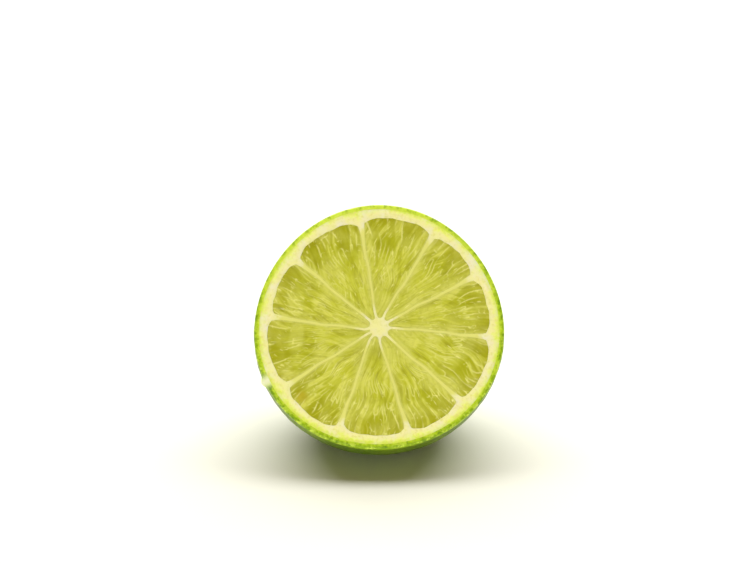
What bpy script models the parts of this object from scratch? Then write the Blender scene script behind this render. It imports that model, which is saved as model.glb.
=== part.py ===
"""Half a lime, cut across its middle and standing on a small flat spot with the cut face leaning back.

The fruit is one grown piece, so it is one closed solid. It is worked out in its own frame first: the cut
face lies in the XY plane and looks along +Z, and the dome hangs below it to the nipple at the blossom end.
Then it is leant over, set down on its flat spot and moved so that the spot's middle is the origin.
Lengths are in metres.
"""

import math

import bpy
import numpy as np

# The outside
WIDEST_RADIUS = 0.0260
WIDEST_DEPTH = 0.0030  # the widest girth lies this far behind the cut
DOME_LENGTH = 0.0285  # from the widest girth to the round end, without the nipple
DOME_FULLNESS = 2.15  # exponent of the profile: 2 is an ellipse, more is fuller in the shoulders
OVALNESS = 0.004  # as a share of the radius
OVAL_DIRECTION = math.radians(34)
UNEVENNESS = 0.0125  # threefold, as a share of the radius
UNEVEN_DIRECTION = math.radians(91)
TAG_LENGTH = 0.0008  # a tag of peel that the knife left standing out at the edge
TAG_DIRECTION = math.radians(205.5)
TAG_HALF_WIDTH = math.radians(2.4)
DIMPLE_DEPTH = 0.00008
NIPPLE_HEIGHT = 0.0028
NIPPLE_RADIUS = 0.0041
NIPPLE_STEEPNESS = 2.2
NIPPLE_RINGS = (0.0062, 0.0049, 0.0037, 0.0025, 0.0013)
DOME_FOOT = 0.0078  # the last even ring of the dome, round the nipple
DOME_ROWS = 13

# How it stands
LEAN = math.radians(36)  # how far the cut face leans back from upright
FLAT_DEPTH = 0.0016  # how much of the round underside the flat spot takes off

# The cut face
PEEL_THICKNESS = 0.0010
RIM_ROUNDING = 0.00035
PITH_ROWS = 2
RIND_THICKNESS = 0.0028  # peel and pith together, in the middle of a segment
CORNER_ROUNDING = 0.0016  # how far the pith fills in beside each membrane
CORE_RADIUS = 0.0020
CORE_POINT = 0.0012  # how far the core reaches out along each membrane
CORE_RINGS = (0.55, 1.0)
MEMBRANE_WIDTH = 0.0009  # at the pith; it thins to a third of this at the core

# Each of the ten membranes runs straight from the core to the pith. These are its angles there, in
# degrees anticlockwise from the right, seen from the front: none points quite at the middle.
MEMBRANES = (
    (-2.5, -5.5),
    (31.0, 28.3),
    (67.0, 59.7),
    (105.0, 99.2),
    (141.5, 139.8),
    (187.0, 173.9),
    (209.0, 212.2),
    (232.0, 247.9),
    (272.0, 284.9),
    (314.0, 317.0),
)

# The juice sacs
SACS_ACROSS = 7  # side by side in a segment
SAC_COLUMNS = 2 * SACS_ACROSS - 1  # a crest for each sac and a groove between two
SAC_LENGTHS = (0.24, 0.46)  # shares of the way from the core to the pith
SAC_GROOVE = 0.00075  # the groove between two sacs, below the cut
SAC_RELIEF = 0.00065  # the most that a sac stands over its groove
SAC_STEEPNESS = 0.42  # what a narrow sac stands over its groove, over its width
SAC_NECK = 0.3  # what is left of its height where one sac meets the next
PULP_ROWS = 17
PULP_INSET = 0.0002  # from the last row of sacs to the pith and to the core

SEGMENT_SIZE = SAC_COLUMNS + 3
COLUMN_COUNT = len(MEMBRANES) * SEGMENT_SIZE

PEEL_GREEN = (0.17, 0.36, 0.010)
PITH_CREAM = (0.86, 0.80, 0.42)
PULP_YELLOW_GREEN = (0.52, 0.53, 0.060)
PEEL, PITH, PULP = 0, 1, 2

rng = np.random.default_rng(7)
sac_lengths = rng.uniform(*SAC_LENGTHS, (len(MEMBRANES), SAC_COLUMNS + 2))
sac_phases = rng.uniform(0, 1, (len(MEMBRANES), SAC_COLUMNS + 2))


def outline(angle):
    """The cut's edge radius over its mean: a slight oval with a threefold unevenness."""
    oval = OVALNESS * np.cos(2 * (angle - OVAL_DIRECTION))
    uneven = UNEVENNESS * np.cos(3 * (angle - UNEVEN_DIRECTION))
    return 1 + oval + uneven


def torn_tag(angle):
    """How far the torn tag stands out from the edge: a bell curve over the angle."""
    off = np.angle(np.exp(1j * (angle - TAG_DIRECTION)))
    return TAG_LENGTH * np.exp(-((off / TAG_HALF_WIDTH) ** 2))


def girth(depth):
    """Radius of the dome at a depth behind the cut: a superellipse about the widest girth."""
    share = np.abs((depth - WIDEST_DEPTH) / DOME_LENGTH)
    return WIDEST_RADIUS * (1 - share**DOME_FULLNESS) ** (1 / DOME_FULLNESS)


def pulp_edge(angle):
    """Where the pulp meets the pith in the middle of a segment: a rind's thickness inside the cut's edge."""
    return girth(0.0) * outline(angle) - RIND_THICKNESS


def polar(angle, radius):
    return radius * math.cos(angle), radius * math.sin(angle)


def segment_bounds(segment):
    """Angles of a segment's two membranes, at the core and at the pith, the second after the first."""
    first = [math.radians(a) for a in MEMBRANES[segment]]
    second = [math.radians(a) for a in MEMBRANES[(segment + 1) % len(MEMBRANES)]]
    if segment + 1 == len(MEMBRANES):
        second = [a + 2 * math.pi for a in second]
    return (first[0], second[0]), (first[1], second[1])


class Column:
    """One line of points from the core out to the pith, along a membrane or along the juice sacs.

    share is None down a membrane's middle, 0 and 1 at the two sides of a segment, and between them
    odd columns are the crests of sacs and even ones the grooves.
    """

    def __init__(self, segment, number, share):
        self.segment = segment
        self.number = number
        self.share = share
        beside_membrane = 1.0 if share is None else abs(2 * share - 1)
        core_bounds, pith_bounds = segment_bounds(segment)
        self.width_angle = pith_bounds[1] - pith_bounds[0]
        core_radius = CORE_RADIUS + CORE_POINT * beside_membrane**3
        pith_radius = float(pulp_edge(sum(pith_bounds) / 2)) - CORNER_ROUNDING * beside_membrane**5
        self.core = self.place(core_bounds, core_radius, MEMBRANE_WIDTH / 3)
        self.pith = self.place(pith_bounds, pith_radius, MEMBRANE_WIDTH)

    def place(self, bounds, radius, width):
        """Angle and radius of the column's end: a membrane's side lies half its width off its middle."""
        if self.share is None:
            return bounds[0], radius
        side = width / 2 / radius
        return bounds[0] + side + self.share * (bounds[1] - bounds[0] - 2 * side), radius

    def point(self, row_share):
        """x and y at a share of the way out, a little inside both ends."""
        x0, y0 = polar(self.core[0], self.core[1] + PULP_INSET)
        x1, y1 = polar(self.pith[0], self.pith[1] - PULP_INSET)
        return x0 + row_share * (x1 - x0), y0 + row_share * (y1 - y0)

    def height(self, row_share, radius):
        """Height over the cut: a membrane is level with it, and the sacs rise towards it from their grooves.

        Along a crest the height is the root of a quartic, repeated for each sac with its own length
        and phase, so that each sac has round ends. A narrow sac stands less far out than a wide one.
        """
        if self.share is None:
            return 0.0
        if self.number % 2 == 0:
            return -SAC_GROOVE
        length = sac_lengths[self.segment, self.number]
        along = (row_share / length + sac_phases[self.segment, self.number]) % 1
        round_end = math.sqrt(1 - (2 * along - 1) ** 4)
        relief = min(SAC_RELIEF, SAC_STEEPNESS * radius * self.width_angle / SACS_ACROSS)
        return -SAC_GROOVE + relief * (SAC_NECK + (1 - SAC_NECK) * round_end)


def make_columns():
    """All columns, anticlockwise: each membrane's middle, its far side, the sacs and the next one's near side."""
    across = np.linspace(0, 1, SAC_COLUMNS + 2)
    columns = []
    for segment in range(len(MEMBRANES)):
        columns.append(Column(segment, 0, None))
        columns += [Column(segment, number, float(share)) for number, share in enumerate(across)]
    return columns


def face_rings(columns):
    """Rings of (x, y, z) from round the core out to the rim, each with one point a column."""
    rings = []
    for core_share in CORE_RINGS:
        rings.append([(*polar(c.core[0], core_share * c.core[1]), 0.0) for c in columns])
    for row_share in np.linspace(0, 1, PULP_ROWS):
        ring = []
        for column in columns:
            x, y = column.point(row_share)
            ring.append((x, y, column.height(row_share, math.hypot(x, y))))
        rings.append(ring)
    rings.append([(*polar(*c.pith), 0.0) for c in columns])
    cut_radius = float(girth(0.0))
    for share in np.linspace(0, 1, PITH_ROWS + 1)[1:]:
        ring = []
        for column in columns:
            angle, radius = column.pith
            peel_inside = cut_radius * float(outline(angle)) - PEEL_THICKNESS
            ring.append((*polar(angle, radius + share * (peel_inside - radius)), 0.0))
        rings.append(ring)
    for inset, drop in ((RIM_ROUNDING, 0.1 * RIM_ROUNDING), (0.0, RIM_ROUNDING)):
        ring = []
        for column in columns:
            angle = column.pith[0]
            radius = cut_radius * float(outline(angle)) + float(torn_tag(angle)) - inset
            ring.append((*polar(angle, radius), -drop))
        rings.append(ring)
    return rings


def dome_rings(angles):
    """Rings of (x, y, z) down the dome from just below the rim to the nipple, dimpled as peel is."""
    first = math.asin((2.5 * RIM_ROUNDING - WIDEST_DEPTH) / DOME_LENGTH)
    last = math.acos(DOME_FOOT / WIDEST_RADIUS)
    profile = []
    for turn in np.linspace(first, last, DOME_ROWS):
        depth = WIDEST_DEPTH + DOME_LENGTH * math.sin(turn)
        profile.append((depth, float(girth(depth))))
    for radius in NIPPLE_RINGS:
        share = (1 - (radius / WIDEST_RADIUS) ** DOME_FULLNESS) ** (1 / DOME_FULLNESS)
        profile.append((WIDEST_DEPTH + DOME_LENGTH * share, radius))
    rings = []
    for depth, radius in profile:
        fading = 1 - depth / (WIDEST_DEPTH + DOME_LENGTH)
        dimples = DIMPLE_DEPTH / WIDEST_RADIUS * rng.uniform(0, 2, len(angles))
        reach = radius * (1 + (outline(angles) - 1) * fading) * (1 - dimples)
        rise = NIPPLE_HEIGHT * math.exp(-((radius / NIPPLE_RADIUS) ** NIPPLE_STEEPNESS))
        rings.append([(*polar(angle, r), -depth - rise) for angle, r in zip(angles, reach)])
    return rings


def band(first, second, count):
    """Triangles between two rings of the same count, given the index at which each starts."""
    faces = []
    for i in range(count):
        j = (i + 1) % count
        faces += [(first + i, second + i, second + j), (first + i, second + j, first + j)]
    return faces


def halving_band(first, second, count):
    """Triangles between a ring of count points and one of half as many, each over every other point."""
    faces = []
    for i in range(0, count, 2):
        k, m = second + i // 2, second + (i // 2 + 1) % (count // 2)
        a, b, c = first + i, first + i + 1, first + (i + 2) % count
        faces += [(a, k, b), (b, k, m), (b, m, c)]
    return faces


def lean_and_settle(points):
    """The points leant over and set down, with the round underside pressed flat where it meets the ground."""
    turn = math.pi / 2 - LEAN
    y = points[:, 1] * math.cos(turn) - points[:, 2] * math.sin(turn)
    z = points[:, 1] * math.sin(turn) + points[:, 2] * math.cos(turn)
    z = np.maximum(z - z.min() - FLAT_DEPTH, 0)
    settled = np.column_stack([points[:, 0], y, z])
    spot = settled[settled[:, 2] == 0]
    middle = (spot.min(axis=0) + spot.max(axis=0)) / 2
    return settled - middle


def make_material(name, colour, roughness):
    material = bpy.data.materials.new(name)
    material.use_nodes = True
    shader = material.node_tree.nodes["Principled BSDF"]
    shader.inputs["Base Color"].default_value = (*colour, 1)
    shader.inputs["Roughness"].default_value = roughness
    material.diffuse_color = (*colour, 1)
    return material


def face_finish(band_number, triangle):
    """Peel, pith or pulp, for a triangle of the band outside the ring of that number on the cut face."""
    pith_edge = len(CORE_RINGS) + PULP_ROWS
    if band_number >= pith_edge + PITH_ROWS:
        return PEEL
    place = (triangle // 2) % SEGMENT_SIZE
    on_membrane = place in (0, SEGMENT_SIZE - 1)
    in_pulp = len(CORE_RINGS) - 1 <= band_number < pith_edge
    return PULP if in_pulp and not on_membrane else PITH


def make_half_lime():
    """One closed mesh: core, pulp with its membranes, pith, the peel's edge, dome and nipple."""
    face = face_rings(make_columns())
    rim_angles = np.array([math.atan2(y, x) for x, y, _ in face[-1][::2]])
    points, starts = [(0.0, 0.0, 0.0)], []
    for ring in face + dome_rings(rim_angles):
        starts.append(len(points))
        points += ring
    tip = len(points)
    scar_dip = 0.07 * NIPPLE_HEIGHT
    points.append((0.0, 0.0, -WIDEST_DEPTH - DOME_LENGTH - NIPPLE_HEIGHT + scar_dip))

    faces = [(0, starts[0] + i, starts[0] + (i + 1) % COLUMN_COUNT) for i in range(COLUMN_COUNT)]
    finish = [PITH] * COLUMN_COUNT
    for number in range(len(face) - 1):
        strip = band(starts[number], starts[number + 1], COLUMN_COUNT)
        faces += strip
        finish += [face_finish(number, triangle) for triangle in range(len(strip))]
    dome_count = COLUMN_COUNT // 2
    skin = halving_band(starts[len(face) - 1], starts[len(face)], COLUMN_COUNT)
    for number in range(len(face), len(starts) - 1):
        skin += band(starts[number], starts[number + 1], dome_count)
    skin += [(starts[-1] + i, tip, starts[-1] + (i + 1) % dome_count) for i in range(dome_count)]
    faces += skin
    finish += [PEEL] * len(skin)

    mesh = bpy.data.meshes.new("half_lime")
    mesh.from_pydata(lean_and_settle(np.array(points)).tolist(), [], faces)
    mesh.materials.append(make_material("peel", PEEL_GREEN, 0.35))
    mesh.materials.append(make_material("pith", PITH_CREAM, 0.60))
    mesh.materials.append(make_material("pulp", PULP_YELLOW_GREEN, 0.25))
    mesh.polygons.foreach_set("material_index", finish)
    mesh.shade_smooth()
    mesh.set_sharp_from_angle(angle=math.radians(40))
    fruit = bpy.data.objects.new("half_lime", mesh)
    bpy.context.scene.collection.objects.link(fruit)


for old in list(bpy.data.objects):
    bpy.data.objects.remove(old)
make_half_lime()
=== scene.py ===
"""The half lime as it looks: waxy green peel, cream pith and membranes, and wet segments of juice sacs.

The half is worked out in its own frame, in which the cut face lies in the XY plane and looks along +Z.
Then it is leant over and set down where the frame says. Lengths are in metres.
"""

import math

import bpy
import numpy as np
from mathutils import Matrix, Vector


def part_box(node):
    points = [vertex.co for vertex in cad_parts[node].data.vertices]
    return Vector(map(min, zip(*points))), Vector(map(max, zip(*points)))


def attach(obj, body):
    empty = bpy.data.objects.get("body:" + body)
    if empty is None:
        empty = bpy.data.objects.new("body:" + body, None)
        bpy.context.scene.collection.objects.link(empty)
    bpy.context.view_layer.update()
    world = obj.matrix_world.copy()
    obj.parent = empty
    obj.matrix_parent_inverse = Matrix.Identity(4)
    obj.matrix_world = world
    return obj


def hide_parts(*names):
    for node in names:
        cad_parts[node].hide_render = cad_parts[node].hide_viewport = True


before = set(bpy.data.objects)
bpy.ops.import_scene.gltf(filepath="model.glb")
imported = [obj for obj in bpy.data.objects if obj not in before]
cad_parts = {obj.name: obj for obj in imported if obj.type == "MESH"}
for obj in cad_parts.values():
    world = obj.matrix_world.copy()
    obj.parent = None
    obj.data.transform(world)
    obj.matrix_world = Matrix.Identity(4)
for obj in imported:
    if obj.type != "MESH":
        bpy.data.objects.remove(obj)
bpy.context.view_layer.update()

# The peel
# The half's skin is waxy green peel a millimetre thick, dotted with oil glands. The knife cut across it at
# the rim, and at the blossom end it runs out into the nipple with its dry brown scar.
LEAN = math.radians(36)  # how far the cut face leans back from upright
WIDEST_RADIUS = 0.0260
WIDEST_DEPTH = 0.0030  # behind the cut
DOME_LENGTH = 0.0285  # from the widest girth to the blossom end, without the nipple
DOME_FULLNESS = 2.15
NIPPLE_HEIGHT = 0.0028
NIPPLE_RADIUS = 0.0041
NIPPLE_STEEPNESS = 2.2
OVALNESS = 0.004  # as a share of the radius
OVAL_DIRECTION = math.radians(34)
UNEVENNESS = 0.0125  # threefold, as a share of the radius
UNEVEN_DIRECTION = math.radians(91)
OUTLINE_STEPS = 720
PEEL_THICKNESS = 0.0010
CUT_CROWN = 0.00003  # how far the peel's cut edge swells above the face
RIM_ROUNDING = 0.00035
SKIN_START = 2.2 * RIM_ROUNDING  # depth of the first row that follows the dome
BODY_DEPTH = 0.0040  # of the hidden floor that the pith lies on
TAG_LENGTH = 0.0008
TAG_DIRECTION = math.radians(205.5)
TAG_HALF_WIDTH = math.radians(2.4)
TAG_FADING = 0.0009  # depth over which the tag runs out down the dome
TORN_DEPTH = 0.0011  # depth that the tag's pale torn side reaches
GLAND_SPACING = 0.00115
GLAND_SCATTER = 0.38  # in spacings
GLAND_DEPTH = 0.00007
GLAND_RADIUS = 0.00030
LUMP_HEIGHT = 0.00006
LUMP_SIZE = 0.007
SMALL_LUMP_SIZE = 0.0026
SCAR_RADIUS = 0.0013
SCAR_RISE = 0.0003
GREEN_REACH = 0.10  # how much further in the cut edge is green, in peel thicknesses, as are the next two
LOW_REACH = 0.16
LOW_DIRECTION = math.radians(285)
SIDE_REACH = 0.06
SIDE_DIRECTION = math.radians(45)
PAINTED_BACKLIGHT_TURN = math.radians(5)  # painted backlight lightens the cut edge above a line turned by this
WAVE_SPREAD = (0.7, 1.4)  # each wave's length is divided by a number from this range
CREASE_ANGLE = math.radians(50)  # sharper edges than this aren't shaded smooth
PEEL_COLUMNS = 560
CUT_ROWS = 6
CORNER_ROWS = 5
ONSET_ROWS = 6  # rows over which glands and lumps set in behind the corner
DOME_ROWS = 160

rng = np.random.default_rng(11)


def bell(off, width, power=2):
    """1 where off is 0, falling as a bell curve: e to the minus of off over width, to a power."""
    return np.exp(-((off / width) ** power))


def outline(angle):
    """The cut's edge radius over its mean: a slight oval with a threefold unevenness."""
    oval = OVALNESS * np.cos(2 * (angle - OVAL_DIRECTION))
    uneven = UNEVENNESS * np.cos(3 * (angle - UNEVEN_DIRECTION))
    return 1 + oval + uneven


def torn_tag(angle):
    """How far the torn tag stands out from the edge: a bell curve over the angle."""
    off = np.angle(np.exp(1j * (angle - TAG_DIRECTION)))
    return TAG_LENGTH * bell(off, TAG_HALF_WIDTH)


def girth(depth):
    """Radius of the dome at a depth behind the cut: a superellipse about the widest girth."""
    share = np.abs((depth - WIDEST_DEPTH) / DOME_LENGTH)
    return WIDEST_RADIUS * np.maximum(1 - share**DOME_FULLNESS, 0) ** (1 / DOME_FULLNESS)


CUT_RADIUS = float(girth(0.0))


def stand(points):
    """Points from the half's own frame to where they stand.

    They are turned about X, then moved so that the widest girth, the rim's top and its lowest front edge
    touch the same limits as the frame's node does, and kept above the ground.
    """
    low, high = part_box("half_lime")
    top = CUT_RADIUS * outline(math.pi / 2) * math.cos(LEAN) - RIM_ROUNDING * math.sin(LEAN)
    front = (CUT_RADIUS * outline(-math.pi / 2) - RIM_ROUNDING) * math.sin(LEAN)
    angle = np.linspace(0, 2 * math.pi, OUTLINE_STEPS)
    fading = DOME_LENGTH / (WIDEST_DEPTH + DOME_LENGTH)
    sides = WIDEST_RADIUS * (1 + (outline(angle) - 1) * fading) * np.cos(angle)
    x = points[:, 0] + (low[0] + high[0]) / 2 - (sides.min() + sides.max()) / 2
    y = points[:, 1] * math.sin(LEAN) - points[:, 2] * math.cos(LEAN) + low[1] + front
    z = points[:, 1] * math.cos(LEAN) + points[:, 2] * math.sin(LEAN) + high[2] - top
    return np.column_stack([x, y, np.maximum(z, 0)])


def grid_faces(rows, columns, closed=True):
    """Quads over a grid of points numbered row by row; closed joins the last column to the first."""
    here = np.arange(columns if closed else columns - 1)
    beside = (here + 1) % columns
    row = columns * np.arange(rows - 1)[:, None]
    quads = np.stack([row + here, row + columns + here, row + columns + beside, row + beside], axis=-1)
    return quads.reshape(-1, 4)


def fan_faces(tip, ring):
    """Triangles from one point to each two neighbours of a closed ring."""
    return np.column_stack([np.full(len(ring), tip), ring, np.roll(ring, -1)])


def close_ends(points, rows, columns, first_middle, last_middle):
    """Points, quads and fans of a grid that is closed by a middle point inside its first and its last row."""
    count = rows * columns
    first_fan = fan_faces(count, np.arange(columns))
    last_fan = fan_faces(count + 1, np.arange(count - columns, count)[::-1])
    return np.vstack([points, [first_middle, last_middle]]), grid_faces(rows, columns), [first_fan, last_fan]


def signed_volume(points, faces):
    """Sum over the faces of the triple product of their first three corners and, on quads, of the rest."""
    a, b, c = (points[faces[:, k]] for k in range(3))
    volume = np.einsum("ij,ij->", a, np.cross(b, c))
    if faces.shape[1] == 4:
        volume += np.einsum("ij,ij->", a, np.cross(c, points[faces[:, 3]]))
    return volume


def make_piece(name, points, quads, fans, marks, material, slot):
    """One closed mesh of the half, stood up, with its marks as point attributes; it rides on the root."""
    stood = stand(points)
    if signed_volume(stood, quads) + sum(signed_volume(stood, fan) for fan in fans) < 0:
        quads = quads[:, ::-1]
        fans = [fan[:, ::-1] for fan in fans]
    mesh = bpy.data.meshes.new(name)
    faces = quads.tolist() + [face for fan in fans for face in fan.tolist()]
    mesh.from_pydata(stood.tolist(), [], faces)
    for mark, values in marks.items():
        layer = mesh.attributes.new(mark, "FLOAT", "POINT")
        layer.data.foreach_set("value", np.ascontiguousarray(values, dtype=np.float32))
    mesh.shade_smooth()
    mesh.set_sharp_from_angle(angle=CREASE_ANGLE)
    mesh.materials.append(material)
    piece = bpy.data.objects.new(name, mesh)
    bpy.context.scene.collection.objects.link(piece)
    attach(piece, "root")
    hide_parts("half_lime")


def waves(points, wavelength, count=7):
    """A smooth random value, mostly between -1 and 1.

    It is the sum of sine waves that run in random directions, over the square root of their number.
    """
    total = np.zeros(len(points))
    for _ in range(count):
        direction = rng.normal(size=points.shape[1])
        direction *= 2 * math.pi / wavelength / np.linalg.norm(direction) * rng.uniform(*WAVE_SPREAD)
        total += np.sin(points @ direction + rng.uniform(0, 2 * math.pi))
    return total / math.sqrt(count)


def gland_closeness(angle, turn, radius):
    """1 on an oil gland, falling to 0 beside it as a bell curve.

    The glands stand in rings round the dome, each gland shifted at random inside its own cell of the ring.
    A point looks at the cells of three rings and of three neighbours in each, and takes the nearest gland.
    """
    pitch = GLAND_SPACING / DOME_LENGTH
    start = turn.min()
    rings = int((math.pi / 2 - start) / pitch) + 3
    middles = start + (np.arange(rings) - 0.5) * pitch
    counts = np.maximum(2 * math.pi * WIDEST_RADIUS * np.cos(middles) / GLAND_SPACING, 3).astype(int)
    shift = rng.uniform(-GLAND_SCATTER, GLAND_SCATTER, (rings, counts.max(), 2))
    own_ring = np.floor((turn - start) / pitch).astype(int) + 1
    nearest = np.full(len(angle), 1.0)
    for step in (-1, 0, 1):
        ring = np.clip(own_ring + step, 0, rings - 1)
        count = counts[ring]
        cell = np.floor(angle / (2 * math.pi) * count).astype(int)
        for near in (cell - 1, cell, cell + 1):
            along, across = shift[ring, near % count].T
            gland_angle = (near + 0.5 + along) / count * 2 * math.pi
            gland_turn = middles[ring] + across * pitch
            away = np.hypot((angle - gland_angle) * radius, (turn - gland_turn) * DOME_LENGTH)
            nearest = np.minimum(nearest, away)
    return bell(nearest, GLAND_RADIUS)


def green_reach(angle):
    """How much further in the green reaches, in peel thicknesses.

    A cosine round the rim makes it most low down, and a slighter twofold one varies it.
    """
    low = LOW_REACH * np.cos(angle - LOW_DIRECTION)
    return GREEN_REACH + low + SIDE_REACH * np.cos(2 * (angle - SIDE_DIRECTION))


def around(angle, radius, height):
    """Rows of x, y and z of points at these angles round the half's axis, radii and heights."""
    x = radius * np.cos(angle)
    y = radius * np.sin(angle)
    return np.column_stack([x.ravel(), y.ravel(), height.ravel()])


def peel_rows(angle, turns):
    """Radius, depth and cut mark of each smooth row of the peel; turns are those of the rows on the dome.

    The rows run from inside the hidden floor up the inner wall, straight across the cut edge, a quarter
    circle round the corner, and down the dome as the girth says, where the outline's unevenness fades with
    depth. The torn tag fades faster, as a falling power of e.
    """
    rim = CUT_RADIUS * outline(angle) + torn_tag(angle)
    inner = CUT_RADIUS * outline(angle) - PEEL_THICKNESS
    corner_share = RIM_ROUNDING / PEEL_THICKNESS
    rows = [(0.5 * inner, BODY_DEPTH, 0.0), (inner, BODY_DEPTH, 0.0), (inner, 0.3 * BODY_DEPTH, 0.0)]
    for share in np.linspace(0, 1, CUT_ROWS):
        crown = CUT_CROWN * math.sin(3 * share)
        rows.append((inner + share * (rim - RIM_ROUNDING - inner), -crown, share * (1 - corner_share)))
    for share in np.linspace(0, 1, CORNER_ROWS + 1)[1:]:
        out = RIM_ROUNDING * (math.sin(share * math.pi / 2) - 1)
        down = RIM_ROUNDING * (1 - math.cos(share * math.pi / 2))
        rows.append((rim + out, down, 1 - corner_share * (1 - share)))
    for turn in turns:
        depth = WIDEST_DEPTH + DOME_LENGTH * math.sin(turn)
        fading = 1 - depth / (WIDEST_DEPTH + DOME_LENGTH)
        tag = torn_tag(angle) * math.exp(-depth / TAG_FADING)
        rows.append((girth(depth) * (1 + (outline(angle) - 1) * fading) + tag, depth, 1.0))
    return rows


def peel_points():
    """The peel's closed surface as rows of points round the half, with its marks.

    Glands and lumps move the skin along its normal, and the nipple and its scar are bell curves of the
    radius. cut is 0 at the pith and 1 from the outer corner on, plus the green's reach, and skin_depth is the
    depth behind the cut.
    """
    start = math.asin((SKIN_START - WIDEST_DEPTH) / DOME_LENGTH)
    turns = np.linspace(start, math.pi / 2, DOME_ROWS + 1)[:-1]
    columns = np.linspace(0, 2 * math.pi, PEEL_COLUMNS, endpoint=False)
    rows = peel_rows(columns, turns)
    edge_rows = len(rows) - DOME_ROWS
    radius = np.array([row[0] for row in rows])
    height = np.broadcast_to([[-row[1]] for row in rows], radius.shape)
    cut = np.broadcast_to([[row[2]] for row in rows], radius.shape)
    angle = np.broadcast_to(columns, radius.shape)
    turn = np.full(radius.shape, start)
    turn[edge_rows:] = turns[:, None]

    gland = gland_closeness(angle.ravel(), turn.ravel(), radius.ravel()).reshape(radius.shape)
    gland[:edge_rows] = 0
    place = around(angle, radius, height)
    lumps = (waves(place, LUMP_SIZE) + 0.5 * waves(place, SMALL_LUMP_SIZE)).reshape(radius.shape)
    onset = np.zeros(len(rows))
    onset[edge_rows:] = np.clip(np.arange(DOME_ROWS) / ONSET_ROWS, 0, 1)
    rise = (LUMP_HEIGHT * lumps - GLAND_DEPTH * gland) * onset[:, None]
    radius = radius + rise * np.cos(turn)
    nipple = NIPPLE_HEIGHT * bell(radius, NIPPLE_RADIUS, NIPPLE_STEEPNESS)
    nipple[:edge_rows] = 0
    scar = bell(radius, SCAR_RADIUS, 4)
    scar[:edge_rows] = 0
    height = height - rise * np.sin(turn) - nipple + SCAR_RISE * scar

    torn = torn_tag(angle) / TAG_LENGTH * bell(height, TORN_DEPTH)
    # painted backlight: 1 at the top of the rim, falling to 0 at the sides and nothing on the lower half
    upper = np.clip(np.sin(angle - PAINTED_BACKLIGHT_TURN), 0, 1)
    marks = {"cut": cut + green_reach(angle), "upper": upper, "gland": gland, "scar": scar, "torn": torn}
    marks["skin_depth"] = -height
    return around(angle, radius, height), len(rows), {mark: values.ravel() for mark, values in marks.items()}


def new_material(name):
    """A node material, its node tree and its Principled BSDF, which is joined to the output."""
    material = bpy.data.materials.new(name)
    material.use_nodes = True
    return material, material.node_tree, material.node_tree.nodes["Principled BSDF"]


def all_over(shader, values):
    """Sets the shader's own sockets that have the same value all over the surface."""
    for socket, value in values.items():
        shader.inputs[socket].default_value = value


def node(tree, kind, inputs=(), **settings):
    """A shader node with its settings made; inputs is pairs of a socket's name or number and its value."""
    made = tree.nodes.new(kind)
    for name, value in settings.items():
        setattr(made, name, value)
    for socket, value in inputs:
        if isinstance(value, bpy.types.NodeSocket):
            tree.links.new(value, made.inputs[socket])
        else:
            made.inputs[socket].default_value = value
    return made


def opaque(colour):
    """A colour with full alpha, or the socket that gives it."""
    return colour if isinstance(colour, bpy.types.NodeSocket) else (*colour, 1)


def read_mark(tree, name):
    """The value of one of the piece's marks."""
    return node(tree, "ShaderNodeAttribute", attribute_name=name).outputs["Fac"]


def mix(tree, factor, first, second):
    """The colour between first and second at factor; sockets 6 and 7 of the node are its two colours."""
    inputs = [(0, factor), (6, opaque(first)), (7, opaque(second))]
    return node(tree, "ShaderNodeMix", inputs, data_type="RGBA").outputs[2]


def times(tree, value, factor):
    """The product of two values."""
    return node(tree, "ShaderNodeMath", [(0, value), (1, factor)], operation="MULTIPLY").outputs[0]


def rescaled(tree, value, start, end, low=0.0, high=1.0, way="LINEAR"):
    """low where the value is at start and high where it is at end, in proportion between and held beyond."""
    inputs = [(0, value), (1, start), (2, end), (3, low), (4, high)]
    return node(tree, "ShaderNodeMapRange", inputs, interpolation_type=way).outputs[0]


def ramp(tree, value, stops):
    """A colour for each value: stops is pairs of position and colour."""
    made = node(tree, "ShaderNodeValToRGB", [(0, value)])
    points = made.color_ramp.elements
    while len(points) < len(stops):
        points.new(0.5)
    for point, (position, colour) in zip(points, stops):
        point.position = position
        point.color = opaque(colour)
    return made.outputs["Color"]


def noise(tree, scale, detail):
    """Noise in the piece's own space, with so many finer layers added."""
    place = node(tree, "ShaderNodeTexCoord").outputs["Object"]
    inputs = [("Vector", place), ("Scale", scale), ("Detail", detail)]
    return node(tree, "ShaderNodeTexNoise", inputs).outputs["Fac"]


def add_bump(tree, shader, height, strength, distance):
    """Gives the shader a normal bumped by a height of 0 to 1, which stands for the distance."""
    bump = node(tree, "ShaderNodeBump", [("Height", height), ("Strength", strength), ("Distance", distance)])
    tree.links.new(bump.outputs["Normal"], shader.inputs["Normal"])


def new_group(name, colours, numbers, given):
    """An empty node group, with the sockets inside it that bring its inputs and take its outputs."""
    group = bpy.data.node_groups.new(name, "ShaderNodeTree")
    for colour in colours:
        group.interface.new_socket(colour, in_out="INPUT", socket_type="NodeSocketColor")
    for number in numbers:
        group.interface.new_socket(number, in_out="INPUT", socket_type="NodeSocketFloat")
    for output, kind in given:
        group.interface.new_socket(output, in_out="OUTPUT", socket_type=kind)
    return group, group.nodes.new("NodeGroupInput").outputs, group.nodes.new("NodeGroupOutput").inputs


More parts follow.
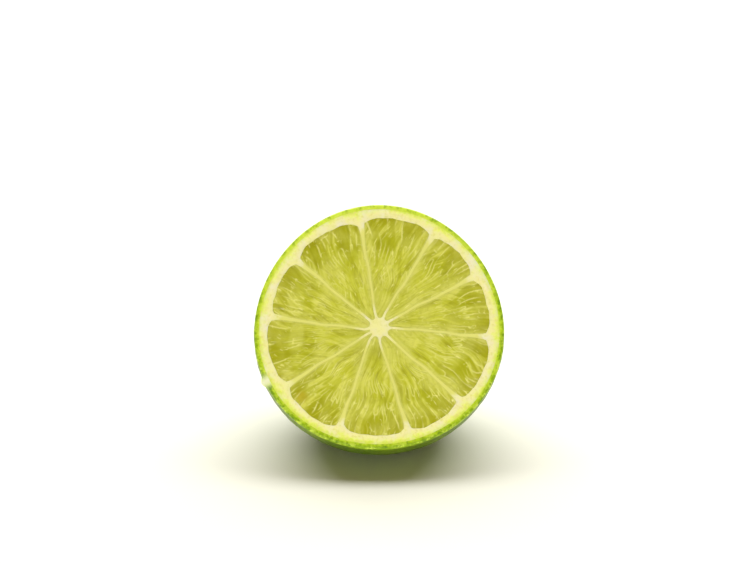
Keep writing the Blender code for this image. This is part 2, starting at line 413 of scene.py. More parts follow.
def make_mottling():
    """Node group: uneven growth.

    Broad noise lightens a colour in patches and fine noise darkens it in grains. The fine noise is also the
    height.
    """
    given = (("Colour", "NodeSocketColor"), ("Height", "NodeSocketFloat"))
    numbers = ("Patch Scale", "Grain Scale", "Amount")
    group, enter, leave = new_group("uneven growth", ("Colour", "Light", "Dark"), numbers, given)
    patches = noise(group, enter["Patch Scale"], detail=3.0)
    grain = noise(group, enter["Grain Scale"], detail=4.0)
    light_share = times(group, rescaled(group, patches, 0.45, 0.70), enter["Amount"])
    dark_share = times(group, rescaled(group, grain, 0.50, 0.25), enter["Amount"])
    lit = mix(group, light_share, enter["Colour"], enter["Light"])
    group.links.new(mix(group, dark_share, lit, enter["Dark"]), leave["Colour"])
    group.links.new(grain, leave["Height"])
    return group


uneven_growth = make_mottling()


def mottled(tree, colour, light, dark, patch_scale, grain_scale, amount):
    """The outputs of one uneven growth group with these values."""
    inputs = [("Colour", opaque(colour)), ("Light", opaque(light)), ("Dark", opaque(dark))]
    inputs += [("Patch Scale", patch_scale), ("Grain Scale", grain_scale), ("Amount", amount)]
    return node(tree, "ShaderNodeGroup", inputs, node_tree=uneven_growth).outputs


def make_ragging():
    """Node group: a ragged edge. Fine noise, less its mean and times the amount, is added to a value."""
    given = (("Value", "NodeSocketFloat"),)
    group, enter, leave = new_group("ragged edge", (), ("Value", "Scale", "Amount"), given)
    fine = noise(group, enter["Scale"], detail=3.0)
    off_mean = node(group, "ShaderNodeMath", [(0, fine), (1, 0.5)], operation="SUBTRACT").outputs[0]
    parts = [(0, off_mean), (1, enter["Amount"]), (2, enter["Value"])]
    group.links.new(node(group, "ShaderNodeMath", parts, operation="MULTIPLY_ADD").outputs[0], leave["Value"])
    return group


ragged_edge = make_ragging()


def ragged(tree, value, scale, amount):
    """A value with the noise of a ragged edge added."""
    inputs = [("Value", value), ("Scale", scale), ("Amount", amount)]
    return node(tree, "ShaderNodeGroup", inputs, node_tree=ragged_edge).outputs["Value"]


SKIN_GREEN = (0.110, 0.195, 0.003)
SKIN_YELLOW_GREEN = (0.23, 0.33, 0.008)
SKIN_DARK_GREEN = (0.050, 0.095, 0.002)
GLAND_GREEN = (0.055, 0.105, 0.002)
CUT_PALE = (0.76, 0.90, 0.10)
CUT_LIME = (0.53, 0.72, 0.022)
CUT_GREEN = (0.28, 0.45, 0.005)
# painted backlight: the lighter colour that the cut edge is given at the top of the half
CUT_PAINTED_BACKLIGHT = (0.80, 0.95, 0.10)
CUT_BRIGHT = (0.62, 0.78, 0.08)
CUT_DARK = (0.15, 0.29, 0.003)
TORN_PALE = (0.95, 0.99, 0.70)
SCAR_BROWN = (0.10, 0.055, 0.015)
RAGGEDNESS = 1300.0  # scale of the noise on the borders between peel and pith


def make_peel_material():
    """Skin and cut edge in one.

    The cut edge runs from pale at the pith to green at the skin, with painted backlight lightening it at the
    top of the half, and is mottled where the knife opened its glands. Behind the corner it fades into skin
    with darker glands and a thin coat of wax. The tag is pale and the scar brown.
    """
    material, tree, shader = new_material("waxy peel")
    skin_colours = (SKIN_GREEN, SKIN_YELLOW_GREEN, SKIN_DARK_GREEN)
    skin = mottled(tree, *skin_colours, patch_scale=90.0, grain_scale=900.0, amount=0.6)
    dotted = mix(tree, times(tree, read_mark(tree, "gland"), 0.55), skin["Colour"], GLAND_GREEN)
    cut = ragged(tree, read_mark(tree, "cut"), RAGGEDNESS, amount=1.3)
    edge = ramp(tree, cut, ((0.0, CUT_PALE), (0.4, CUT_LIME), (0.9, CUT_GREEN)))
    # painted backlight: the cut edge is lightened towards the top of the half
    edge = mix(tree, times(tree, read_mark(tree, "upper"), 0.6), edge, CUT_PAINTED_BACKLIGHT)
    opened = mottled(tree, edge, CUT_BRIGHT, CUT_DARK, patch_scale=1100.0, grain_scale=1000.0, amount=1.7)
    edge = mix(tree, cut, edge, opened["Colour"])
    depth = read_mark(tree, "skin_depth")
    behind = rescaled(tree, depth, 0.0001, 0.0016, way="SMOOTHSTEP")
    colour = mix(tree, behind, edge, dotted)
    colour = mix(tree, read_mark(tree, "scar"), colour, SCAR_BROWN)
    colour = mix(tree, read_mark(tree, "torn"), colour, TORN_PALE)
    tree.links.new(colour, shader.inputs["Base Color"])
    roughness = rescaled(tree, skin["Height"], 0.3, 0.7, low=0.36, high=0.50)
    tree.links.new(roughness, shader.inputs["Roughness"])
    wax = rescaled(tree, depth, 0.0003, 0.0015, high=0.11)
    tree.links.new(wax, shader.inputs["Coat Weight"])
    add_bump(tree, shader, skin["Height"], strength=0.35, distance=0.00008)
    all_over(shader, {
        "Specular IOR Level": 0.26,
        "Coat Roughness": 0.30,
        "Subsurface Weight": 0.12,
        "Subsurface Radius": (0.6, 1.0, 0.15),
        "Subsurface Scale": 0.0012,
    })
    return material


peel_grid, peel_row_count, peel_marks = peel_points()
tip_depth = WIDEST_DEPTH + DOME_LENGTH + NIPPLE_HEIGHT - SCAR_RISE
peel_surface = close_ends(peel_grid, peel_row_count, PEEL_COLUMNS, (0, 0, -BODY_DEPTH), (0, 0, -tip_depth))
floor_and_tip = {"scar": (0, 1), "skin_depth": (BODY_DEPTH, tip_depth)}
peel_marks = {mark: np.append(values, floor_and_tip.get(mark, (0, 0))) for mark, values in peel_marks.items()}
make_piece("peel", *peel_surface, peel_marks, make_peel_material(), "peel")

# The pith
# Inside the peel lies the spongy cream pith. It runs on into the ten thin membranes between the segments and
# into the core, so the three are one piece, with a pocket for each segment.
RIND_THICKNESS = 0.0028  # peel and pith together, in the middle of a segment
CORNER_ROUNDING = 0.0016
CORE_RADIUS = 0.0020
CORE_POINT = 0.0012
CORE_RISE = 0.00012  # how far the core swells above the face
CORE_TOP = 0.00015  # and how far its very middle does
EDGE_WANDER = 0.00005
MEMBRANE_WIDTH = 0.00082  # about what it is just before it flares out at the pith
MEMBRANE_BEND = 0.00016
MEMBRANE_CROWN = 0.00010
MEMBRANE_SEED = 100
YELLOW_FROM_CORE = 0.12  # share of the way out over which a membrane's own colour sets in
YELLOW_TO_PITH = 0.06  # and over which it ends
POCKET_DEPTH = 0.0030
WALL_SLOPE = 0.00012
WIDEST_MARGIN = 0.45  # the most that lies beside a pocket on each side, as a share of the segment
PITH_BULGE = 0.00010
PITH_DEPTH = 0.97 * BODY_DEPTH
PITH_FIT = 0.9995  # how wide the underside is, in widths of the peel's inner wall
MEMBRANES = (
    (-2.5, -5.5),
    (31.0, 28.3),
    (67.0, 59.7),
    (105.0, 99.2),
    (141.5, 139.8),
    (187.0, 173.9),
    (209.0, 212.2),
    (232.0, 247.9),
    (272.0, 284.9),
    (314.0, 317.0),
)  # angle of each at the core and at the pith, in degrees
RIDGE = np.array([-0.5, -0.42, -0.2, 0.2, 0.42, 0.5])  # points across a membrane, in its widths
POCKET_COLUMNS = 26
PITH_FACE_ROWS = 60
PITH_RING_ROWS = 8


def pulp_edge(angle):
    """Where the pulp meets the pith in the middle of a segment: a rind's thickness inside the cut's edge."""
    return CUT_RADIUS * outline(angle) - RIND_THICKNESS


def segment_angles(segment):
    """Angles of a segment's two membranes at the core and at the pith, in radians and rising."""
    first = np.radians(MEMBRANES[segment])
    second = np.radians(MEMBRANES[(segment + 1) % len(MEMBRANES)])
    if segment + 1 == len(MEMBRANES):
        second = second + 2 * math.pi
    return (first[0], second[0]), (first[1], second[1])


def column_ends(segment, share):
    """x and y of the core end and the pith end of the lines at shares from 0 to 1 across a segment.

    A line's pith end lies on the pulp's edge, drawn in beside the membranes by a fifth power and wandering by
    three sine waves round the face. Its core end is on the core, which reaches out beside the membranes by a
    third power.
    """
    core_bounds, pith_bounds = segment_angles(segment)
    beside = np.abs(2 * share - 1)
    core_angle = core_bounds[0] + share * (core_bounds[1] - core_bounds[0])
    pith_angle = pith_bounds[0] + share * (pith_bounds[1] - pith_bounds[0])
    core_radius = CORE_RADIUS + CORE_POINT * beside**3
    wander = np.sin(17 * pith_angle + 1) + np.sin(29 * pith_angle + 4) + np.sin(53 * pith_angle)
    pith_radius = pulp_edge(sum(pith_bounds) / 2) - CORNER_ROUNDING * beside**5 + EDGE_WANDER * wander
    core = np.stack([core_radius * np.cos(core_angle), core_radius * np.sin(core_angle)], axis=-1)
    pith = np.stack([pith_radius * np.cos(pith_angle), pith_radius * np.sin(pith_angle)], axis=-1)
    return core, pith


def membrane_width(way):
    """Width of a membrane at a share of the way from the core to the pith.

    It grows evenly, and by a twelfth power it flares out at the pith.
    """
    return MEMBRANE_WIDTH * (0.55 + 0.35 * way + 0.5 * way**12)


def membrane_bend(number, way):
    """How far a membrane wanders sideways: two sine waves of its own, nothing at either end."""
    phases = np.random.default_rng(MEMBRANE_SEED + number).uniform(0, 2 * math.pi, 2)
    wander = np.sin(2.2 * math.pi * way + phases[0]) + 0.45 * np.sin(5.6 * math.pi * way + phases[1])
    return MEMBRANE_BEND * wander * np.sin(math.pi * way)


def beside_line(start, end):
    """The direction at a right angle to a line, one long."""
    along = end - start
    return np.array([-along[1], along[0]]) / np.linalg.norm(along)


def face_grid(segment, share, way):
    """Points at shares across a segment and of the way out, as an array of way by share by 2.

    Each is on the straight line between its column's two ends, and moved with the bend of the nearer
    membrane, the less the further it is from it.
    """
    share = np.broadcast_to(share, (len(way), np.shape(share)[-1]))
    core, pith = column_ends(segment, share)
    points = core + way[:, None, None] * (pith - core)
    core_edges, pith_edges = column_ends(segment, np.array([0.0, 1.0]))
    for side, number in ((0, segment), (1, (segment + 1) % len(MEMBRANES))):
        sideways = beside_line(core_edges[side], pith_edges[side])
        nearness = np.clip(1 - 2 * np.abs(share - side), 0, 1) ** 2
        points = points + (membrane_bend(number, way)[:, None] * nearness)[..., None] * sideways
    return points


def pocket_shares(segment, way, across):
    """Shares across a segment, way by across, of the lines that lie at shares across its pocket.

    The pocket is what the halves of the two membranes and the slope of their walls leave of the segment.
    """
    core, pith = column_ends(segment, np.array([0.0, 1.0]))
    width = np.linalg.norm(core[1] - core[0]) * (1 - way) + np.linalg.norm(pith[1] - pith[0]) * way
    margin = np.minimum((0.5 * membrane_width(way) + WALL_SLOPE) / width, WIDEST_MARGIN)
    return margin[:, None] + across * (1 - 2 * margin[:, None])


def pith_columns():
    """Each column's segment, share across it, place across a membrane in widths, and whether over a pocket.

    The columns run round the face. The last ones of a segment are on the next membrane's near half.
    """
    columns = []
    shares = 0.5 - 0.5 * np.cos(np.linspace(0, math.pi, POCKET_COLUMNS))
    for segment in range(len(MEMBRANES)):
        columns += [(segment, 0.0, across, False) for across in RIDGE[3:]]
        columns += [(segment, share, 0.0, True) for share in shares]
        columns += [(segment, 1.0, across, False) for across in RIDGE[:3]]
    return columns


def pith_points():
    """The pith's closed surface as rows round the face, from the core's middle out, down and back under.

    Over a pocket the surface drops to the pocket's floor, between the first two and the last two shares of
    the way. A membrane's top is rounded as a fourth power of the place across it. green is 0 at the pulp and
    1 at the peel, plus the green's reach, and membrane is 1 on membranes only.
    """
    columns = pith_columns()
    way = np.concatenate([[0.0, 0.006], np.linspace(0.02, 0.98, PITH_FACE_ROWS), [0.994, 1.0]])
    x, y, z, yellow = (np.zeros((len(way), len(columns))) for _ in range(4))
    for index, (segment, share, across, over_pocket) in enumerate(columns):
        if over_pocket:
            points = face_grid(segment, pocket_shares(segment, way, np.array([share])), way)[:, 0]
            z[1:-1, index] = -POCKET_DEPTH
        else:
            core, pith = column_ends(segment, np.array([share]))
            points = face_grid(segment, np.array([share]), way)[:, 0]
            points = points + (across * membrane_width(way))[:, None] * beside_line(core[0], pith[0])
            z[:, index] = -MEMBRANE_CROWN * (2 * abs(across)) ** 4 * np.sin(math.pi * way) ** 0.5
            yellow[:, index] = np.clip(np.minimum(way / YELLOW_FROM_CORE, (1 - way) / YELLOW_TO_PITH), 0, 1)
        x[:, index], y[:, index] = points.T

    angle = np.arctan2(y[-1], x[-1])
    edge = np.hypot(x[-1], y[-1])
    outer = CUT_RADIUS * outline(angle) - PEEL_THICKNESS
    reach = green_reach(angle) * PEEL_THICKNESS / (outer - edge)
    rows = [(share * x[0], share * y[0], CORE_RISE * (1 - share), 0.0, 0.0) for share in (0.25, 0.5, 0.75)]
    rows += [(x[k], y[k], z[k], 0.0, yellow[k]) for k in range(len(way))]
    for share in np.linspace(0, 1, PITH_RING_ROWS + 1)[1:]:
        radius = edge + share * (outer - edge)
        bulge = PITH_BULGE * math.sin(math.pi * share)
        rows.append((radius * np.cos(angle), radius * np.sin(angle), bulge, share + reach, 0.0))
    for share in (PITH_FIT, 0.5):
        radius = outer * share
        rows.append((radius * np.cos(angle), radius * np.sin(angle), -PITH_DEPTH, 1.0, 0.0))
    table = np.array([[np.broadcast_to(value, len(columns)) for value in row] for row in rows])
    points = table[:, :3].transpose(0, 2, 1).reshape(-1, 3)
    return points, len(rows), len(columns), {"green": table[:, 3].ravel(), "membrane": table[:, 4].ravel()}


PITH_CREAM = (1.0, 0.95, 0.45)
PITH_LEMON = (0.93, 0.99, 0.26)
PITH_LIME = (0.80, 0.94, 0.11)
PITH_SHADE = (0.87, 0.83, 0.27)
PITH_WHITE = (1.0, 0.94, 0.72)
MEMBRANE_YELLOW = (0.87, 0.85, 0.24)


def make_pith_material():
    """Cream, mottled and matt, turning lemon and lime at the peel, with yellower membranes."""
    material, tree, shader = new_material("spongy pith")
    stops = ((0.0, PITH_CREAM), (0.45, PITH_CREAM), (0.78, PITH_LEMON), (1.0, PITH_LIME))
    rim = ramp(tree, ragged(tree, read_mark(tree, "green"), RAGGEDNESS, amount=0.8), stops)
    grown = mottled(tree, rim, PITH_WHITE, PITH_SHADE, patch_scale=300.0, grain_scale=1400.0, amount=0.9)
    colour = mix(tree, read_mark(tree, "membrane"), grown["Colour"], MEMBRANE_YELLOW)
    tree.links.new(colour, shader.inputs["Base Color"])
    add_bump(tree, shader, grown["Height"], strength=0.5, distance=0.00010)
    all_over(shader, {
        "Roughness": 0.6,
        "Specular IOR Level": 0.25,
        "Subsurface Weight": 0.35,
        "Subsurface Radius": (1.0, 0.85, 0.35),
        "Subsurface Scale": 0.0008,
    })
    return material


pith_grid, pith_row_count, pith_column_count, pith_marks = pith_points()
pith_surface = close_ends(pith_grid, pith_row_count, pith_column_count, (0, 0, CORE_TOP), (0, 0, -PITH_DEPTH))
pith_marks = {mark: np.append(values, (0, 0)) for mark, values in pith_marks.items()}
make_piece("pith", *pith_surface, pith_marks, make_pith_material(), "pith")

# The pulp
# Each of the ten segments is packed with spindle-shaped juice sacs, which start at the pith and point to the
# core. The knife opened them, so their thin walls show as pale lines, and the juice makes them shine.
SAC_TIERS = (
    (8, 1.01, 0.50),
    (7, 0.78, 0.44),
    (6, 0.55, 0.38),
    (4, 0.34, 0.30),
)  # how many lie side by side, how far out they start, and how long they are, as shares of the way out
SAC_SEED = 40
SAC_SCATTER = 0.35  # sideways, in sacs
SAC_START_SCATTER = (-0.06, 0.02)
SAC_SIZE_SCATTER = (0.8, 1.25)
SAC_LEAN = (0.55, 1.0)  # a sac's distance from the segment's middle at its inner end, over that at its outer
SAC_HALF_WIDTH = 0.62  # over its share of the segment's width
SAC_WIDEST = 0.4  # where along it that width is taken
SHORTEST_WAY = 0.02  # how near the core the sacs end, as a share of the way out
SAC_LEVEL = 0.6  # the height on a sac that lies at the pulp's level
LOWEST_GAP = -0.6  # the lowest that the height falls between sacs
PULP_LENGTH = CUT_RADIUS - RIND_THICKNESS - CORE_RADIUS
PULP_COLUMNS = 150
PULP_ROWS = 210
PULP_DEPTH = 0.97 * POCKET_DEPTH
PULP_LEVEL = 0.00008  # how far the sacs' tops lie below the cut beside the membranes
SAC_BULGE = 0.00010
SAC_UNEVENNESS = 0.00004
WALL_HEIGHT = 0.00004
HAZE_WIDTH = 0.0014  # how far the milky shine of a membrane reaches into the juice beside it
HAZE_FALL = 1.3  # the power by which it falls
HAZE_SCATTER = (0.35, 1.0)
MEETING_WIDTH = 0.00030  # over this the pulp rises to a membrane and to the core
MEETING_HAZE = 0.85
WARP_SIZE = 0.009
WARP = 0.00040  # how far the sacs are bent out of line
STREAKS = (0.0014, 0.10)  # width of the streaks, and their width over their length, as on the next four
FINE_STREAKS = (0.0006, 0.06)
FIBRES = (0.0019, 0.14)
FLECKS = (0.0007, 0.20)
CURLS = (0.0013, 0.50)
FIBRE_SHARPNESS = 0.20
CURL_SHARPNESS = 0.24
DASH_SIZE = 0.0012
WALL_PATCH = 0.005
FIBRE_PATCH = 0.004
HAZE_PATCH = 0.007
CURL_PATCH = 0.003
TONE_PATCH = 0.006
UNEVEN_SIZE = 0.0030
RIPE_SPOTS = (
    (0.0217, math.radians(221.7), 0.0012, 1.0),
    (0.0033, math.radians(168), 0.0009, 0.6),
)  # radius and angle of each riper, more golden sac, its size and how golden it is


def lay_sacs(segment, draw):
    """Outer end, inner end, half width, height and tone of each sac in a segment.

    They lie in tiers from the pith to the core. Inward, each leans towards the middle of the segment, more so
    beside the membranes, as the barbs of a feather do.
    """
    outer, inner, half_width, lift, tone = [], [], [], [], []
    for count, start, length in SAC_TIERS:
        shares = (np.arange(count) + 0.5 + draw.uniform(-SAC_SCATTER, SAC_SCATTER, count)) / count
        for share in shares:
            begin = start + draw.uniform(*SAC_START_SCATTER)
            end = max(begin - length * draw.uniform(*SAC_SIZE_SCATTER), SHORTEST_WAY)
            drawn_in = 0.5 + (share - 0.5) * draw.uniform(*SAC_LEAN)
            widest = begin - SAC_WIDEST * (begin - end)
            left, right = face_grid(segment, np.array([0.0, 1.0]), np.array([widest]))[0]
            room = np.linalg.norm(right - left)
            outer.append(face_grid(segment, np.array([share]), np.array([begin]))[0, 0])
            inner.append(face_grid(segment, np.array([drawn_in]), np.array([end]))[0, 0])
            half_width.append(SAC_HALF_WIDTH * room / count * draw.uniform(*SAC_SIZE_SCATTER))
            lift.append(draw.uniform(0, 1))
            tone.append(draw.uniform(0, 1))
    return np.array(outer), np.array(inner), np.array(half_width), np.array(lift), np.array(tone)


def sac_surface(points, sacs):
    """Height up to 1, the number of the sac on top and its tone, for each point.

    A sac's height is a parabola across it, over a width that swells from its outer end and tapers to a point
    inwards; past its two ends it falls away steeply. The highest sac at a point is the one that shows.
    """
    outer, inner, half_width, lift, tone = sacs
    axis = inner - outer
    length = np.linalg.norm(axis, axis=1)
    axis = axis / length[:, None]
    off = points[None] - outer[:, None]
    along = np.einsum("ijk,ik->ij", off, axis) / length[:, None]
    across = off[..., 0] * axis[:, None, 1] - off[..., 1] * axis[:, None, 0]
    inside = np.clip(along, 0, 1)
    swell = 0.55 + 0.45 * np.sin(np.clip(inside / 0.45, 0, 1) * math.pi / 2)
    taper = (1 - inside**2.2) ** 0.7
    place = across / (half_width[:, None] * (swell * taper + 0.02))
    past = np.maximum(-along, 0) + np.maximum(along - 1, 0)
    height = 0.55 + 0.45 * lift[:, None] - place**2 - (past / 0.05) ** 2
    top = np.argmax(height, axis=0)
    return np.clip(height[top, np.arange(len(points))], LOWEST_GAP, 1), top, tone[top]


def softened(values, rounds):
    """values with each replaced, in every round, by the mean of itself, counted twice, and its neighbours."""
    for _ in range(rounds):
        padded = np.pad(values, 1, mode="edge")
        up_and_down = 2 * values + padded[:-2, 1:-1] + padded[2:, 1:-1]
        values = (up_and_down + padded[1:-1, :-2] + padded[1:-1, 2:]) / 6
    return values


def over_grid(points, size, count=7):
    """The waves of a size over a segment's grid."""
    return waves(points, size, count).reshape(PULP_ROWS, PULP_COLUMNS)


def drawn_out(sideways, outward, width, thinness):
    """The waves of a width over a segment's grid, drawn out towards the core by one over the thinness."""
    return over_grid(np.column_stack([sideways, thinness * outward]), width, 12)


def pulp_surface(segment, plan, share, way):
    """Height of the pulp over a segment's grid, and its marks.

    wall is 1 where two sacs meet, as far as that shows, and on pale flecks and broken curls. haze is the
    milky shine beside the membranes. tone is dark at 0 and light at 1: it changes from sac to sac, with
    streaks, and with fibres where waves cross zero. ripe is 1 on the golden sacs. The height is the sacs'
    own, less near the core, and the surface rises to meet the membranes.
    """
    draw = np.random.default_rng(SAC_SEED + segment)
    flat = plan.reshape(-1, 2)
    shape = plan.shape[:2]
    outward_share = way[:, None]
    warp = np.column_stack([waves(flat, WARP_SIZE), waves(flat, WARP_SIZE)]) * WARP
    sacs = sac_surface(flat + warp, lay_sacs(segment, draw))
    height, top, tone = (values.reshape(shape) for values in sacs)
    wall = np.zeros(shape)
    wall[:-1] = top[:-1] != top[1:]
    wall[:, :-1] = np.maximum(wall[:, :-1], top[:, :-1] != top[:, 1:])
    fading = np.clip(0.40 + 0.75 * over_grid(flat, WALL_PATCH), 0, 1)
    wall = np.clip(2.4 * softened(wall * fading, 3), 0, 1) * (0.35 + 0.65 * outward_share**1.5)

    width = np.linalg.norm(plan[:, -1] - plan[:, 0], axis=1)[:, None]
    first_side, second_side = draw.uniform(*HAZE_SCATTER, 2)
    haze = first_side * bell(share * width, HAZE_WIDTH, HAZE_FALL)
    haze = haze + second_side * bell((1 - share) * width, HAZE_WIDTH, HAZE_FALL)
    outward = np.repeat(way, PULP_COLUMNS) * PULP_LENGTH
    sideways = (share * width).ravel() + warp[:, 0]
    streaks = drawn_out(sideways, outward, *STREAKS) + 0.5 * drawn_out(sideways, outward, *FINE_STREAKS)
    fibres = bell(drawn_out(sideways, outward, *FIBRES), FIBRE_SHARPNESS)
    fibres = fibres * np.clip(0.5 + 0.8 * over_grid(flat, FIBRE_PATCH), 0, 1)
    milky = np.clip(over_grid(flat, HAZE_PATCH), 0, 1)
    haze = np.clip(haze * (0.75 + 0.30 * streaks) + 0.30 * milky, 0, 1)
    flecks = np.clip(1.5 * drawn_out(sideways, outward, *FLECKS) - 2.0, 0, 0.9)
    curls = bell(drawn_out(sideways, outward, *CURLS), CURL_SHARPNESS)
    curls = curls * np.clip(1.3 * over_grid(flat, CURL_PATCH) - 0.3, 0, 0.9)
    dashes = np.clip(0.5 + 1.3 * over_grid(flat, DASH_SIZE, 12), 0, 1)
    wall = np.clip(wall + flecks + curls * dashes * outward_share, 0, 1)

    off_membrane = np.minimum(share, 1 - share) * width - 0.5 * membrane_width(way)[:, None]
    meeting = bell(np.clip(off_membrane, 0, outward_share * PULP_LENGTH), MEETING_WIDTH)
    haze = np.maximum(haze, MEETING_HAZE * meeting)
    ripe = np.zeros(shape)
    for spot_radius, spot_angle, size, strength in RIPE_SPOTS:
        spot = np.array([math.cos(spot_angle), math.sin(spot_angle)]) * spot_radius
        ripe += strength * bell(np.linalg.norm(plan - spot, axis=2), size, 3)

    uneven = over_grid(flat, UNEVEN_SIZE) + 0.35 * streaks
    relief = SAC_BULGE * (softened(height, 2) - SAC_LEVEL) + SAC_UNEVENNESS * uneven + WALL_HEIGHT * wall
    z = -PULP_LEVEL + relief * (0.35 + 0.65 * outward_share)
    z = z + meeting * (-0.5 * PULP_LEVEL - z)
    tone = 0.47 + 0.55 * (softened(tone, 2) - 0.5) + 0.15 * streaks + 0.38 * fibres
    tone += 0.12 * over_grid(flat, TONE_PATCH)
    outward_mark = np.broadcast_to(outward_share, shape)
    return z, {"wall": wall, "haze": haze, "tone": tone, "ripe": ripe, "way": outward_mark}


def make_segment(segment, material):
    """One segment as a closed body: the pulp on top, upright sides in the pocket, and a flat underside."""
    share = np.linspace(0, 1, PULP_COLUMNS)
    way = np.linspace(0, 1, PULP_ROWS)
    plan = face_grid(segment, share, way)
    z, on_top = pulp_surface(segment, plan, share, way)
    points = np.column_stack([plan.reshape(-1, 2), z.ravel()])
    numbers = np.arange(len(points)).reshape(PULP_ROWS, PULP_COLUMNS)
    loop = np.concatenate([numbers[0, :-1], numbers[:-1, -1], numbers[-1, :0:-1], numbers[:0:-1, 0]])
    ring = len(points) + np.arange(len(loop))
    under = points[loop]
    under[:, 2] = -PULP_DEPTH
    points = np.vstack([points, under, under.mean(axis=0)])
    sides = np.column_stack([loop, np.roll(loop, -1), np.roll(ring, -1), ring])
    quads = np.vstack([grid_faces(PULP_ROWS, PULP_COLUMNS, closed=False), sides])
    fan = fan_faces(len(points) - 1, ring[::-1])
    marks = {mark: np.append(values.ravel(), np.zeros(len(loop) + 1)) for mark, values in on_top.items()}
    make_piece(f"pulp_{segment + 1:02d}", points, quads, [fan], marks, material, "pulp")


PULP_RIM = (0.455, 0.45, 0.010)
PULP_MIDDLE = (0.505, 0.525, 0.020)
PULP_INNER = (0.62, 0.64, 0.042)
PULP_LIGHT = (0.80, 0.80, 0.16)
PULP_DARK = (0.39, 0.39, 0.008)
PULP_HAZE = (0.77, 0.765, 0.18)
PULP_RIPE = (0.52, 0.43, 0.005)
SAC_WALL = (0.88, 0.87, 0.29)


def make_pulp_material():
    """Wet yellow-green juice, darker and lighter by its tone, then golden, milky and pale where marked."""
    material, tree, shader = new_material("wet pulp")
    stops = ((0.0, PULP_MIDDLE), (0.45, PULP_INNER), (0.78, PULP_MIDDLE), (1.0, PULP_RIM))
    colour = ramp(tree, read_mark(tree, "way"), stops)
    tone = read_mark(tree, "tone")
    colour = mix(tree, rescaled(tree, tone, 0.48, 0.0, high=0.9), colour, PULP_DARK)
    colour = mix(tree, rescaled(tree, tone, 0.52, 1.0, high=0.9), colour, PULP_LIGHT)
    colour = mix(tree, read_mark(tree, "ripe"), colour, PULP_RIPE)
    colour = mix(tree, read_mark(tree, "haze"), colour, PULP_HAZE)
    grown = mottled(tree, colour, PULP_LIGHT, PULP_DARK, patch_scale=260.0, grain_scale=1100.0, amount=0.35)
    walled = mix(tree, read_mark(tree, "wall"), grown["Colour"], SAC_WALL)
    tree.links.new(walled, shader.inputs["Base Color"])
    add_bump(tree, shader, grown["Height"], strength=0.25, distance=0.00008)
    all_over(shader, {
        "Roughness": 0.32,
        "Specular IOR Level": 0.4,
        "Coat Weight": 0.20,
        "Coat Roughness": 0.16,
        "Subsurface Weight": 0.35,
        "Subsurface Radius": (1.0, 0.95, 0.25),
        "Subsurface Scale": 0.0010,
    })
    return material


pulp_material = make_pulp_material()
for segment in range(len(MEMBRANES)):
    make_segment(segment, pulp_material)

# The table, the light and the camera
# The half stands on a plain white table. A wide soft light above and behind it throws its shadow to the
# front, and a weak low one in front lights the cut face. The camera looks down on it from almost straight in
# front.
TABLE_SIZE = 6.0
TABLE_WHITE = (0.90, 0.885, 0.83)
ROOM_LIGHT = (0.175, 0.147, 0.065)
BACKDROP = (1.1, 1.1, 1.1)
DAYLIGHT = (0.99, 1.0, 0.975)
WARM_LIGHT = (1.0, 0.985, 0.88)
LIT_SPOT = (0, 0, 0.02)
ELEVATION = math.radians(24)
AZIMUTH = math.radians(-1)
DISTANCE = 0.70
FRAME_WIDTH, FRAME_HEIGHT = 750, 564
CORE_PIXEL = (379.2, 327.4)  # where the middle of the core lies in the photograph
PIXELS_PER_METRE = 4816  # at the distance of the core
SENSOR = 36.0
CLIP_START = 0.01

table_mesh = bpy.data.meshes.new("table")
side = TABLE_SIZE / 2
corners = [(-side, -side, 0), (side, -side, 0), (side, side, 0), (-side, side, 0)]
table_mesh.from_pydata(corners, [], [(0, 1, 2, 3)])
table_material, _, table_shader = new_material("white table")
all_over(table_shader, {"Base Color": opaque(TABLE_WHITE), "Roughness": 0.9})
table_mesh.materials.append(table_material)
table = bpy.data.objects.new("table", table_mesh)
bpy.context.scene.collection.objects.link(table)

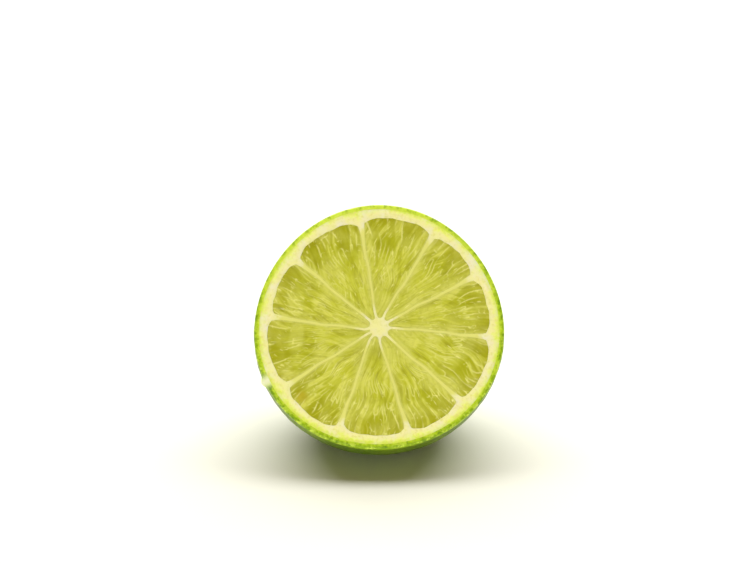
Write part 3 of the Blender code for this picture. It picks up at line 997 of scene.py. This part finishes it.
world = bpy.data.worlds.new("studio")
bpy.context.scene.world = world
world.use_nodes = True
background = world.node_tree.nodes["Background"]
rays = node(world.node_tree, "ShaderNodeLightPath")
seen = mix(world.node_tree, rays.outputs["Is Camera Ray"], ROOM_LIGHT, BACKDROP)
world.node_tree.links.new(seen, background.inputs["Color"])


def soft_light(name, place, width, height, power, colour):
    """A rectangular soft light at place, turned to the lit spot; it doesn't show itself."""
    lamp = bpy.data.lights.new(name, "AREA")
    lamp.shape = "RECTANGLE"
    lamp.size = width
    lamp.size_y = height
    lamp.energy = power
    lamp.color = colour
    holder = bpy.data.objects.new(name, lamp)
    holder.visible_camera = False
    holder.location = place
    way_down = np.array(LIT_SPOT) - np.array(place)
    pitch = math.atan2(math.hypot(way_down[0], way_down[1]), -way_down[2])
    holder.rotation_euler = (pitch, 0, math.atan2(way_down[1], way_down[0]) - math.pi / 2)
    bpy.context.scene.collection.objects.link(holder)


soft_light("light from behind", (0.04, 0.78, 1.21), width=2.80, height=1.45, power=53.0, colour=DAYLIGHT)
soft_light(
    "light from the front", (-0.25, -1.50, 0.10), width=1.60, height=0.20, power=12.0, colour=WARM_LIGHT
)

core_place = stand(np.zeros((1, 3)))[0]
forward = math.cos(ELEVATION)
back = np.array([math.sin(AZIMUTH) * forward, -math.cos(AZIMUTH) * forward, math.sin(ELEVATION)])
right = np.array([math.cos(AZIMUTH), math.sin(AZIMUTH), 0])
up = np.cross(back, right)
aside = (CORE_PIXEL[0] - FRAME_WIDTH / 2) / PIXELS_PER_METRE
below = (CORE_PIXEL[1] - FRAME_HEIGHT / 2) / PIXELS_PER_METRE
camera_data = bpy.data.cameras.new("camera")
camera_data.sensor_width = SENSOR
camera_data.lens = SENSOR * PIXELS_PER_METRE * DISTANCE / FRAME_WIDTH
camera_data.clip_start = CLIP_START
camera = bpy.data.objects.new("camera", camera_data)
camera.location = core_place + DISTANCE * back - aside * right + below * up
camera.rotation_euler = (math.pi / 2 - ELEVATION, 0, AZIMUTH)
bpy.context.scene.collection.objects.link(camera)
bpy.context.scene.camera = camera
bpy.context.scene.view_settings.view_transform = "Standard"
